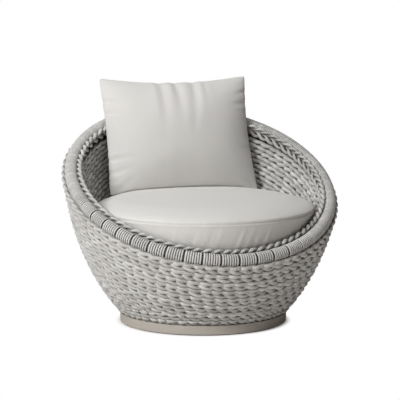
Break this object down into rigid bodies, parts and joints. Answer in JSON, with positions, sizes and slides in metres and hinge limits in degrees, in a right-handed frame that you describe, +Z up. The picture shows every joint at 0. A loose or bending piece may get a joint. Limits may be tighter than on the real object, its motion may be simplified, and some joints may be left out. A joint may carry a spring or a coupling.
{
  "type": "swivel lounge chair",
  "caption": "Round rope-woven bucket chair with a tilted bound rim that turns on a low round plinth, with a loose round seat cushion and a leaning back pillow.",
  "frame": {"origin": "on the floor, at the middle of the floor pad, on the swivel axis", "axes": "+Z up along the swivel axis, front of the chair toward -Y, +X to the sitter's left"},
  "size_m": [0.9982, 0.9505, 0.856],
  "materials": {
    "floor_rubber": "matte moulded rubber sheet",
    "plinth_paint": "smooth greige powder coat",
    "rope": "solution-dyed outdoor rope, light warm grey",
    "seat_fabric": "plain woven outdoor fabric, pale warm grey",
    "pillow_fabric": "plain woven outdoor fabric, pale warm grey",
    "foam": "open-cell foam",
    "filling": "polyester fibre filling",
    "zip_tape": "coil zip",
    "frame_aluminium": "powder-coated tube",
    "bush_plastic": "acetal bush",
    "cage_plastic": "moulded ball cage",
    "plate_steel": "zinc-plated plate",
    "steel": "zinc-plated"
  },
  "bodies": {
    "base": {"base_plate": "plate_steel", "base_plinth": "plinth_paint", "bearing_lower_race": "steel", "floor_pad": "floor_rubber", "king_pin": "steel", "lower_race_bolts": "steel", "pivot_nut": "steel", "pivot_washer": "steel", "plinth_screws": "steel"},
    "ball_cage": {"ball_cage": "cage_plastic", "bearing_balls": "steel"},
    "bowl": {"bearing_upper_race": "steel", "floor_ring": "frame_aluminium", "floor_spoke_1": "frame_aluminium", "floor_spoke_2": "frame_aluminium", "floor_spoke_3": "frame_aluminium", "floor_spoke_4": "frame_aluminium", "floor_spoke_5": "frame_aluminium", "floor_spoke_6": "frame_aluminium", "frame_rib_01": "frame_aluminium", "frame_rib_02": "frame_aluminium", "frame_rib_03": "frame_aluminium", "frame_rib_04": "frame_aluminium", "frame_rib_05": "frame_aluminium", "frame_rib_06": "frame_aluminium", "frame_rib_07": "frame_aluminium", "frame_rib_08": "frame_aluminium", "frame_rib_09": "frame_aluminium", "frame_rib_10": "frame_aluminium", "frame_rib_11": "frame_aluminium", "frame_rib_12": "frame_aluminium", "hub_plate": "plate_steel", "inner_weave": "rope", "outer_weave": "rope", "pivot_bush": "bush_plastic", "rim_inner_braid": "rope", "rim_outer_braid": "rope", "rim_tube": "frame_aluminium", "rim_wrap": "rope", "seat_ring": "frame_aluminium", "seat_slat_1": "frame_aluminium", "seat_slat_2": "frame_aluminium", "seat_slat_3": "frame_aluminium", "seat_slat_4": "frame_aluminium", "seat_slat_5": "frame_aluminium", "seat_slat_6": "frame_aluminium", "seat_slat_7": "frame_aluminium", "upper_race_bolts": "steel"},
    "seat_cushion": {"seat_cushion_core": "foam", "seat_cushion_cover": "seat_fabric", "seat_cushion_zip": "zip_tape"},
    "back_pillow": {"back_pillow_cover": "pillow_fabric", "back_pillow_filling": "filling"}
  },
  "joints": [
    {"name": "swivel", "type": "hinge", "parent": "base", "child": "bowl", "pos_m": [0, 0, 0], "axis": [0, 0, 1], "continuous": true},
    {"name": "ball_cage_turn", "type": "hinge", "parent": "base", "child": "ball_cage", "pos_m": [0, 0, 0], "axis": [0, 0, 1], "continuous": true},
    {"name": "seat_cushion_lift", "type": "slide", "parent": "bowl", "child": "seat_cushion", "axis": [0, 0, 1], "range_m": [0, 0.5]},
    {"name": "back_pillow_lift", "type": "slide", "parent": "seat_cushion", "child": "back_pillow", "axis": [0, 0, 1], "range_m": [0, 0.36]}
  ],
  "couplings": [
    {"joint": "ball_cage_turn", "follows": "swivel", "ratio": 0.5}
  ]
}
